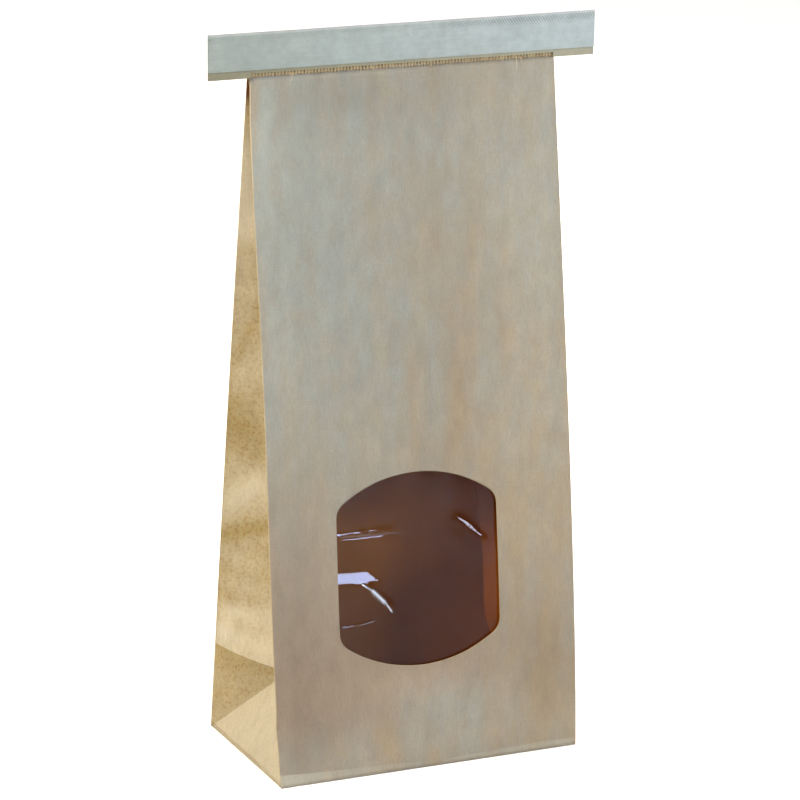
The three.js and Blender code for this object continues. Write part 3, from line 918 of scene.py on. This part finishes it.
def paintEdges(piece, x, y, z):
    # painted highlight on the folds, with some rubbing, and the flap with its painted notch shadows and its
    # pale tips
    start, full, width = paperMarks["foldLight"]
    foldLit = (0.5 + 0.5 * smoothStep(start, full, z)) * bell(np.abs(x), halfWidth, width)
    for elsewhere in (y >= 0, x >= 0):
        foldLit = foldLit * np.where(elsewhere, paperMarks["foldLightElsewhere"], 1)
    paint(piece, "foldHighlight", foldLit * (z < bag["neckHeight"]))
    flap = y < -1.42
    aboveEdge = z - mouth["edge"]
    column = (x + halfWidth + mouth["pastLeft"]) / (bag["width"] + mouth["pastLeft"] + mouth["pastRight"])
    column = (column * bag["width"] - bag["foldRadius"]) / (2 * panelEdge) * bag["backColumns"]
    between = np.cos(np.pi * column) > 0
    uneven = np.clip(0.75 + 0.5 * wander(x, 0 * x, 4, 93), 0, 1)
    # painted shadow in the notches between the teeth, uneven along the edge
    middle, half = paperMarks["notchShadow"]
    paint(piece, "notchShadow", (flap & between & (np.abs(aboveEdge - middle) < half)) * uneven)
    first, last = paperMarks["tip"]
    paint(piece, "toothTip", (y < -1.405) & (aboveEdge < -first) & (aboveEdge > -last))
    paint(piece, "flapTone", flap & (aboveEdge > -1.5) & (z < bag["foldHeight"] - 3))


def paintPaper(piece):
    # a point belongs to a panel by a bell of its distance from that panel's face
    x, y, z = placesOf(piece)
    nearPanel = z < bag["neckHeight"] + 0.5
    onFront = bell(y, frontY(x, z), frontTones["reach"]) * nearPanel
    onBack = bell(y, backY(x, z), frontTones["reach"]) * nearPanel * (np.abs(x) < halfWidth - 0.1)
    paintPanels(piece, x, y, z, onFront, onBack)
    paintGussets(piece, x, y, z, 1 - np.maximum(onFront, onBack))
    paintEdges(piece, x, y, z)


for piece in (bagPiece, pliesPiece, basePiece, fibrePiece):
    paintPaper(piece)
print("paper painted")


# kraft paper: unbleached sulphate pulp, machine-glazed on the outside. Brown and matt, clouded
# where the fibres lie unevenly, with a cool gloss on the glazed face, partly painted into its colour as cool
# sheen
kraft = {
    "warm": "88795d", "cool": "7d8075", "low": "7a6c58", "hem": "a09c88",  # the front: cool is partly painted sheen, low is painted shade, hem is a painted highlight
    "side": "c6bda5", "sideShaded": "9a8a5b", "speckle": "87693a",           # the gussets: a lit and a shaded copy of one kraft, mixed by the painted light and shade bands, and speckle
    # inside: the gussets' orange is a painted glow of light through the paper
    "inside": "a87032", "insideDark": "93632e", "insideGussetGlow": "8c4d08",
    # the slit's painted shade, the folds' painted highlight, the flap, its pale tips and the notches' painted
    # shadow
    "slitShade": "6b3a1a", "foldLight": "cbb893", "flap": "7c6e48", "tip": "b6a588", "notchShadow": "33230f",
    # each pattern's size in millimetres, detail, roughness and scale in x, y and z, where 0.4 makes it 2.5
    # times as long. The fibres are 4 mm long and 0.45 mm wide: real ones are far finer, and wouldn't show
    "patterns": {
        "cloud": (34, 3, 0.55, (1, 1, 1)), "mottle": (3.5, 4, 0.6, (1, 1, 0.4)),
        "fibre": (0.45, 2, 0.6, (1, 1, 0.45 / 4)), "crossFibre": (0.45, 2, 0.6, (0.45 / 4, 1, 1)),
        "grain": (0.5, 2, 0.7, (1, 1, 1)),
    },
    "glazePatterns": {"blotch": (6, 4, 0.65, (1, 1, 0.6)), "speckle": (1.1, 3, 0.6, (1, 1, 1))},
    # how much of each pattern's range is used, and how much it changes the lightness
    "lightness": {
        "cloud": (0.2, 0.05), "mottle": (0.2, 0.085), "fibre": (0.2, 0.06), "crossFibre": (0.2, 0.02),
        "grain": (0.25, 0.08),
    },
    "insideLightness": 0.4,             # share of that on the inside
    "blotchTone": 0.18,                 # how much a blotch changes the tone
    "glow": "cc7420", "glowShare": 0.65, "through": 0.24,  # light that comes through one ply
    "relief": 0.05, "bump": 0.35,       # height of the fibres in millimetres, and how much of it is felt
}


def kraftMaterial(name, inside=False):
    material, tree = newMaterial(name)
    place = addNode(tree, "ShaderNodeTexCoord", out="Object")
    inMm = addNode(tree, "ShaderNodeMapping", {"Vector": place, "Scale": (1000, 1000, 1000)})
    marks = ["insideShade", "gussetGlow"] if inside else [
        "coolToneAndSheen", "lowShade", "creaseShare", "sideLightBands", "creaseLight", "panel", "hemTop", "hemHighlight",
        "paintedLightAndShade", "slitShade", "foldHighlight", "toothTip", "notchShadow",
    ]
    mark = {}
    for each in marks + ["flapTone"]:
        mark[each] = addNode(tree, "ShaderNodeAttribute", out="Fac", attribute_name=each)
    patterns = kraft["patterns"] if inside else {**kraft["patterns"], **kraft["glazePatterns"]}
    pattern = {}
    for each, (size, detail, rough, scale) in patterns.items():
        scaled = addNode(tree, "ShaderNodeMapping", {"Vector": inMm, "Scale": [s / size for s in scale]})
        settings = {"Vector": scaled, "Scale": 1, "Detail": detail, "Roughness": rough}
        pattern[each] = addNode(tree, "ShaderNodeTexNoise", settings)
    # layers are laid over the base colour one by one: the share, what is laid on, and how
    if inside:
        # inside: clouding, the gussets' painted glow and the painted shade
        colour = kraft["inside"]
        clouded = addNode(tree, "ShaderNodeMapRange", [pattern["cloud"], 0.3, 0.7])
        layers = [
            (clouded, kraft["insideDark"], "MIX"), (mark["gussetGlow"], kraft["insideGussetGlow"], "MIX"),
            (1.0, mark["insideShade"], "MULTIPLY"),
        ]
    else:
        # the glaze is blotched in tone as well as in lightness
        most = kraft["blotchTone"]
        blotch = addNode(tree, "ShaderNodeMapRange", [pattern["blotch"], 0.3, 0.7, -most, most])
        tone = addNode(tree, "ShaderNodeMath", [mark["coolToneAndSheen"], blotch], operation="ADD", use_clamp=True)
        # the front's tone, its cool partly painted sheen, then painted shade low down
        front = kraft["warm"]
        for share, layer in ((tone, kraft["cool"]), (mark["lowShade"], kraft["low"])):
            front = addNode(tree, "ShaderNodeMix", {0: share, 6: front, 7: layer}, 2, data_type="RGBA")
        # the gussets are rough kraft, speckled brown where the fibres stand open, most where the bands paint
        # shade
        pale = {0: mark["creaseShare"], 2: mark["sideLightBands"], 3: mark["creaseLight"]}
        pale = addNode(tree, "ShaderNodeMix", pale)
        dark = addNode(tree, "ShaderNodeMapRange", [pale, 0.1, 0.8, 0.75, 0.1])
        speckle = addNode(tree, "ShaderNodeMapRange", [pattern["speckle"], 0.47, 0.68])
        speckle = addNode(tree, "ShaderNodeMath", [speckle, dark], operation="MULTIPLY")
        # below is how far a place lies under the top of the pressed strip, which is painted paler as a
        # highlight
        height = addNode(tree, "ShaderNodeSeparateXYZ", {"Vector": inMm}, 2)
        below = addNode(tree, "ShaderNodeMath", [mark["hemTop"], height], operation="SUBTRACT")
        hem = addNode(tree, "ShaderNodeMapRange", [below, -0.25, 0.35])
        hem = addNode(tree, "ShaderNodeMath", [hem, mark["hemHighlight"]], operation="MULTIPLY")
        # laid on in turn: the gussets' painted light and shade, speckle, the front, the foot strip's painted
        # highlight, the painted light and shade, the slit's painted shade, the folds' painted highlight, the
        # flap, its pale tips and the notches' painted shadow
        colour = kraft["sideShaded"]
        layers = [
            (pale, kraft["side"], "MIX"), (speckle, kraft["speckle"], "MIX"), (mark["panel"], front, "MIX"),
            (hem, kraft["hem"], "MIX"), (1.0, mark["paintedLightAndShade"], "MULTIPLY"),
            (mark["slitShade"], kraft["slitShade"], "MIX"), (mark["foldHighlight"], kraft["foldLight"], "MIX"),
            (mark["flapTone"], kraft["flap"], "MIX"), (mark["toothTip"], kraft["tip"], "MIX"),
            (mark["notchShadow"], kraft["notchShadow"], "MIX"),
        ]
    for each, (half, amount) in kraft["lightness"].items():
        amount = amount * (kraft["insideLightness"] if inside else 1)
        ends = 0.5 - half, 0.5 + half, 1 - amount, 1 + amount
        layers.append((1.0, addNode(tree, "ShaderNodeMapRange", [pattern[each], *ends]), "MULTIPLY"))
    for share, layer, way in layers:
        laid = {0: share, 6: colour, 7: layer}
        colour = addNode(tree, "ShaderNodeMix", laid, 2, data_type="RGBA", blend_type=way)
    relief = addNode(tree, "ShaderNodeMath", [pattern["fibre"], pattern["grain"]], operation="ADD")
    bump = {"Strength": kraft["bump"], "Distance": kraft["relief"] * mm, "Height": relief}
    bump = addNode(tree, "ShaderNodeBump", bump)
    paper = {"Base Color": colour, "Normal": bump, "Roughness": 0.85, "Specular IOR Level": 0.1}
    if not inside:
        glaze = addNode(tree, "ShaderNodeMapRange", [pattern["mottle"], 0.2, 0.8, 0.55, 0.72])
        paper.update({"Roughness": glaze, "Specular IOR Level": 0.35})
    surface = addNode(tree, "ShaderNodeBsdfPrincipled", paper)
    glow = {0: kraft["glowShare"], 6: colour, 7: kraft["glow"]}
    glow = addNode(tree, "ShaderNodeMix", glow, 2, data_type="RGBA")
    through = addNode(tree, "ShaderNodeBsdfTranslucent", {"Color": glow, "Normal": bump})
    # double where the mouth is turned over, so no light comes through there
    thin = addNode(tree, "ShaderNodeMapRange", [mark["flapTone"], 0, 1, kraft["through"], 0])
    both = addNode(tree, "ShaderNodeMixShader", [thin, surface, through])
    addNode(tree, "ShaderNodeOutputMaterial", {"Surface": both})
    return material


smallFinishes = {
    # grain in millimetres, coarser than the real one so that it shows, its two colours, and the shader's values
    # kraft paper cut by a toothed knife: pale, open fibre ends
    "cutPaperEdge": (0.714, "b8a684", "a58c62", {"Roughness": 0.9, "Specular IOR Level": 0.2}),
    # single fibres of unbleached pulp, torn out: paler still
    "loosePulpFibre": (1.111, "e4d2a8", "c4a468", {"Roughness": 0.7}),
    # tinned steel wire, sheared: dull, and coloured dark as painted shade of its slot
    "shadedWireEnd": (0.667, "3f3f38", "5d5c52", {"Metallic": 0.6, "Roughness": 0.5}),
}


def smallMaterial(name):
    # one surface with a fine grain of two colours
    size, first, second, values = smallFinishes[name]
    material, tree = newMaterial(name)
    place = addNode(tree, "ShaderNodeTexCoord", out="Object")
    grain = addNode(tree, "ShaderNodeTexNoise", {"Vector": place, "Scale": 1 / (size * mm), "Detail": 2})
    colour = addNode(tree, "ShaderNodeMix", {0: grain, 6: first, 7: second}, 2, data_type="RGBA")
    surface = addNode(tree, "ShaderNodeBsdfPrincipled", {"Base Color": colour, **values})
    addNode(tree, "ShaderNodeOutputMaterial", {"Surface": surface})
    return material


glazedKraft, roughKraft = kraftMaterial("glazedKraftPaper"), kraftMaterial("roughKraftInside", inside=True)
cutEdge = smallMaterial("cutPaperEdge")
for piece, thickness, innerSlot in (
    (bagPiece, bag["paper"], 1), (pliesPiece, innerPly["paper"], 0), (basePiece, basePaper, 0),
):
    for material in (glazedKraft, roughKraft, cutEdge):
        piece.data.materials.append(material)
    thicken(piece, thickness, innerSlot, 2)
# the base is seen from inside alone
basePiece.data.polygons.foreach_set("material_index", [1] * len(basePiece.data.polygons))
fibrePiece.data.materials.append(smallMaterial("loosePulpFibre"))
wirePiece.data.materials.append(smallMaterial("shadedWireEnd"))


# clear film: cast polypropylene, 30 microns. Nearly invisible, with sharp cool glints on its folds and painted
# white glints along some creases
clearFilm = {
    # a low reflection colour over a large share gives the film's 2 % of gloss without grain
    "mirror": "434346", "share": 0.21, "edgeShare": 0.8,
    "glint": "aeb4bd", "glintShare": 0.8,  # the painted glints along the creases
    "scuffs": 3.846,                    # faint changes of gloss, in millimetres
}


def filmMaterial():
    material, tree = newMaterial("castClearFilm")
    place = addNode(tree, "ShaderNodeTexCoord", out="Object")
    # more gloss where the film is seen at a slant, as on the sides of its folds
    tilt = addNode(tree, "ShaderNodeLayerWeight", {"Blend": 0.5}, "Facing")
    steep = addNode(tree, "ShaderNodeMath", [tilt, 4.0], operation="POWER")
    share = addNode(tree, "ShaderNodeMapRange", [steep, 0, 1, clearFilm["share"], clearFilm["edgeShare"]])
    scuff = {"Vector": place, "Scale": 1 / (clearFilm["scuffs"] * mm), "Detail": 4}
    scuff = addNode(tree, "ShaderNodeTexNoise", scuff)
    rough = addNode(tree, "ShaderNodeMapRange", [scuff, 0.3, 0.7, 0.03, 0.05])
    # painted glints: white, matt and nearly opaque where painted
    glint = addNode(tree, "ShaderNodeAttribute", out="Fac", attribute_name="paintedGlint")
    colour = {0: glint, 6: clearFilm["mirror"], 7: clearFilm["glint"]}
    colour = addNode(tree, "ShaderNodeMix", colour, 2, data_type="RGBA")
    mirror = addNode(tree, "ShaderNodeMath", [1.0, glint], operation="SUBTRACT")
    cover = [glint, clearFilm["glintShare"], share]
    cover = addNode(tree, "ShaderNodeMath", cover, operation="MULTIPLY_ADD")
    surface = {"Base Color": colour, "Metallic": mirror, "Roughness": rough, "Alpha": cover}
    surface = addNode(tree, "ShaderNodeBsdfPrincipled", surface)
    addNode(tree, "ShaderNodeOutputMaterial", {"Surface": surface})
    return material


filmPiece.data.materials.append(filmMaterial())


# the tie: laminated strip paper, calendered, over a flat wire. Pale grey-green with a soft sheen,
# marked by the crimping wheel along its top
tiePaper = {
    "left": "6d756d", "right": "7d8683",              # the face, from end to end
    "shadedBand": "605d46", "shadedBandRight": "75735e",          # the narrow strip below it: its olive partly its own colour and partly painted shade under the face ply
    # the bead colour is a painted highlight along the strip's top edge
    "bead": "8b8c88", "beadHighlight": 0.45,
    "speck": "55513f", "speckShare": 0.35,
    "crimp": "3f4741", "crimpShare": 0.5, "crimpSpacing": 0.98, "crimpSlant": 0.75, "crimpDepth": 1.5,
    # each pattern's size in millimetres along x, y and z, and its detail
    "patterns": {
        "breaks": ((7, 7, 7), 2), "specks": ((0.8, 0.8, 0.8), 1), "slow": ((9, 9, 9), 2),
        "mottle": ((2.4, 2.4, 2.4), 2), "fine": ((0.6, 0.6, 0.6), 2), "streak": ((14, 1, 0.7), 2),
        "grain": ((0.5, 0.5, 0.5), 2), "sheen": ((3, 3, 3), 2),
    },
    # how much each changes the lightness; the streaks ran along the strip in the laminating rolls
    "lightness": {"slow": 0.05, "mottle": 0.06, "fine": 0.03, "streak": 0.035},
}


def tieMaterial():
    material, tree = newMaterial("laminatedTiePaper")
    place = addNode(tree, "ShaderNodeTexCoord", out="Object")
    inMm = addNode(tree, "ShaderNodeMapping", {"Vector": place, "Scale": (1000, 1000, 1000)})
    x, y, z = addNode(tree, "ShaderNodeSeparateXYZ", {"Vector": inMm}).node.outputs
    pattern = {}
    for each, (size, detail) in tiePaper["patterns"].items():
        scaled = addNode(tree, "ShaderNodeMapping", {"Vector": inMm, "Scale": [1 / s for s in size]})
        pattern[each] = addNode(tree, "ShaderNodeTexNoise", {"Vector": scaled, "Scale": 1, "Detail": detail})
    # crimp marks: slanting strokes in a row below the top edge, broken and stronger to the right
    slant = [inMm, (1 / tiePaper["crimpSpacing"], 0, tiePaper["crimpSlant"])]
    slant = addNode(tree, "ShaderNodeVectorMath", slant, "Value", operation="DOT_PRODUCT")
    stroke = addNode(tree, "ShaderNodeMath", [slant, 0.5], operation="PINGPONG")
    crimp = 1.0
    for ramp in (
        [stroke, 0.30, 0.14], [z, 242.4, 243.8], [z, 245.4, 244.9],
        [pattern["breaks"], 0.36, 0.5], [x, -10, 30, 0.35, 1],
    ):
        part = addNode(tree, "ShaderNodeMapRange", ramp)
        crimp = addNode(tree, "ShaderNodeMath", [crimp, part], operation="MULTIPLY")
    along = addNode(tree, "ShaderNodeMapRange", [x, -68, 68])
    face = {0: along, 6: tiePaper["left"], 7: tiePaper["right"]}
    face = addNode(tree, "ShaderNodeMix", face, 2, data_type="RGBA")
    colour = {0: along, 6: tiePaper["shadedBand"], 7: tiePaper["shadedBandRight"]}
    colour = addNode(tree, "ShaderNodeMix", colour, 2, data_type="RGBA")
    # layers are laid over the band's colour one by one: a ramp of one value gives the share of each
    layers = []
    for layer, ramp in (
        (face, [z, tie["faceBottom"] - 0.1, tie["faceBottom"] + 0.1]),
        # painted highlight on the top edge
        (tiePaper["bead"], [z, tie["top"] - 0.9, tie["top"] - 0.6, 0, tiePaper["beadHighlight"]]),
        (tiePaper["crimp"], [crimp, 0, 1, 0, tiePaper["crimpShare"]]),
        (tiePaper["speck"], [pattern["specks"], 0.72, 0.78, 0, tiePaper["speckShare"]]),
    ):
        layers.append((addNode(tree, "ShaderNodeMapRange", ramp), layer, "MIX"))
    for each, amount in tiePaper["lightness"].items():
        ends = 0.3, 0.7, 1 - amount, 1 + amount
        layers.append((1.0, addNode(tree, "ShaderNodeMapRange", [pattern[each], *ends]), "MULTIPLY"))
    for share, layer, way in layers:
        laid = {0: share, 6: colour, 7: layer}
        colour = addNode(tree, "ShaderNodeMix", laid, 2, data_type="RGBA", blend_type=way)
    relief = [crimp, -tiePaper["crimpDepth"], pattern["grain"]]
    relief = addNode(tree, "ShaderNodeMath", relief, operation="MULTIPLY_ADD")
    bump = addNode(tree, "ShaderNodeBump", {"Strength": 0.4, "Distance": 0.06 * mm, "Height": relief})
    sheen = addNode(tree, "ShaderNodeMapRange", [pattern["sheen"], 0.3, 0.7, 0.45, 0.6])
    surface = {"Base Color": colour, "Roughness": sheen, "Specular IOR Level": 0.4, "Normal": bump}
    surface = addNode(tree, "ShaderNodeBsdfPrincipled", surface)
    addNode(tree, "ShaderNodeOutputMaterial", {"Surface": surface})
    return material


tiePiece.data.materials.append(tieMaterial())
print("materials done")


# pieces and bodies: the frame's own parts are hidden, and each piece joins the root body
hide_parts("paper_bag")
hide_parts("window_film")
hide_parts("tin_tie")
for piece, slotName in (
    (bagPiece, "kraft_paper"), (pliesPiece, "kraft_paper"), (basePiece, "kraft_paper"),
    (fibrePiece, "kraft_paper"), (filmPiece, "clear_film"), (tiePiece, "tie_strip"), (wirePiece, "tie_strip"),
):
    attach(piece, "root")


# the floor and the light
studio = {
    "floor": "f4f3f0", "floorSize": 9000, "floorDrop": 0.2,
    "world": "f2f4f8", "worldStrength": 0.32,
    "aim": (0, 0, 110),
    # place in millimetres, size across and up, colour and power of each softbox
    "lights": {
        "topSoftbox": ((0, 900, 2400), 3200, 3000, "ffffff", 66),
        "coolSoftbox": ((470, -1230, 745), 330, 210, "c9dbff", 13),
        "sparkBox": ((890, -1075, 480), 290, 250, "eef1ff", 9),
        "warmSideBox": ((-840, -530, 1090), 500, 500, "fff0da", 24),
        "rightBackBox": ((900, 700, 400), 400, 500, "fff0dc", 18),
    },
}


def makeStudio():
    half = studio["floorSize"] / 2
    x, y = np.meshgrid(np.linspace(-half, half, 3), np.linspace(-half, half, 3))
    floor = buildMesh("paleFloor", *sheet(np.stack([x, y, 0 * x - studio["floorDrop"]], axis=-1), (0, 0, 1)))
    material, tree = newMaterial("paleStudioFloor")
    surface = {"Base Color": studio["floor"], "Roughness": 0.9, "Specular IOR Level": 0.1}
    surface = addNode(tree, "ShaderNodeBsdfPrincipled", surface)
    addNode(tree, "ShaderNodeOutputMaterial", {"Surface": surface})
    floor.data.materials.append(material)
    world = bpy.data.worlds.new("studioWorld")
    world.use_nodes = True
    sky = world.node_tree.nodes["Background"]
    sky.inputs["Color"].default_value = linearColour(studio["world"])
    sky.inputs["Strength"].default_value = studio["worldStrength"]
    bpy.context.scene.world = world
    for name, (place, across, up, colour, power) in studio["lights"].items():
        data = bpy.data.lights.new(name, "AREA")
        data.shape, data.size, data.size_y = "RECTANGLE", across * mm, up * mm
        data.color, data.energy = linearColour(colour)[:3], power
        lamp = bpy.data.objects.new(name, data)
        lamp.location = Vector(place) * mm
        aim = Vector(studio["aim"]) * mm - lamp.location
        lamp.rotation_euler = aim.to_track_quat("-Z", "Y").to_euler()
        bpy.context.scene.collection.objects.link(lamp)
    bpy.context.scene.view_settings.view_transform = "Standard"


makeStudio()
print("studio done")
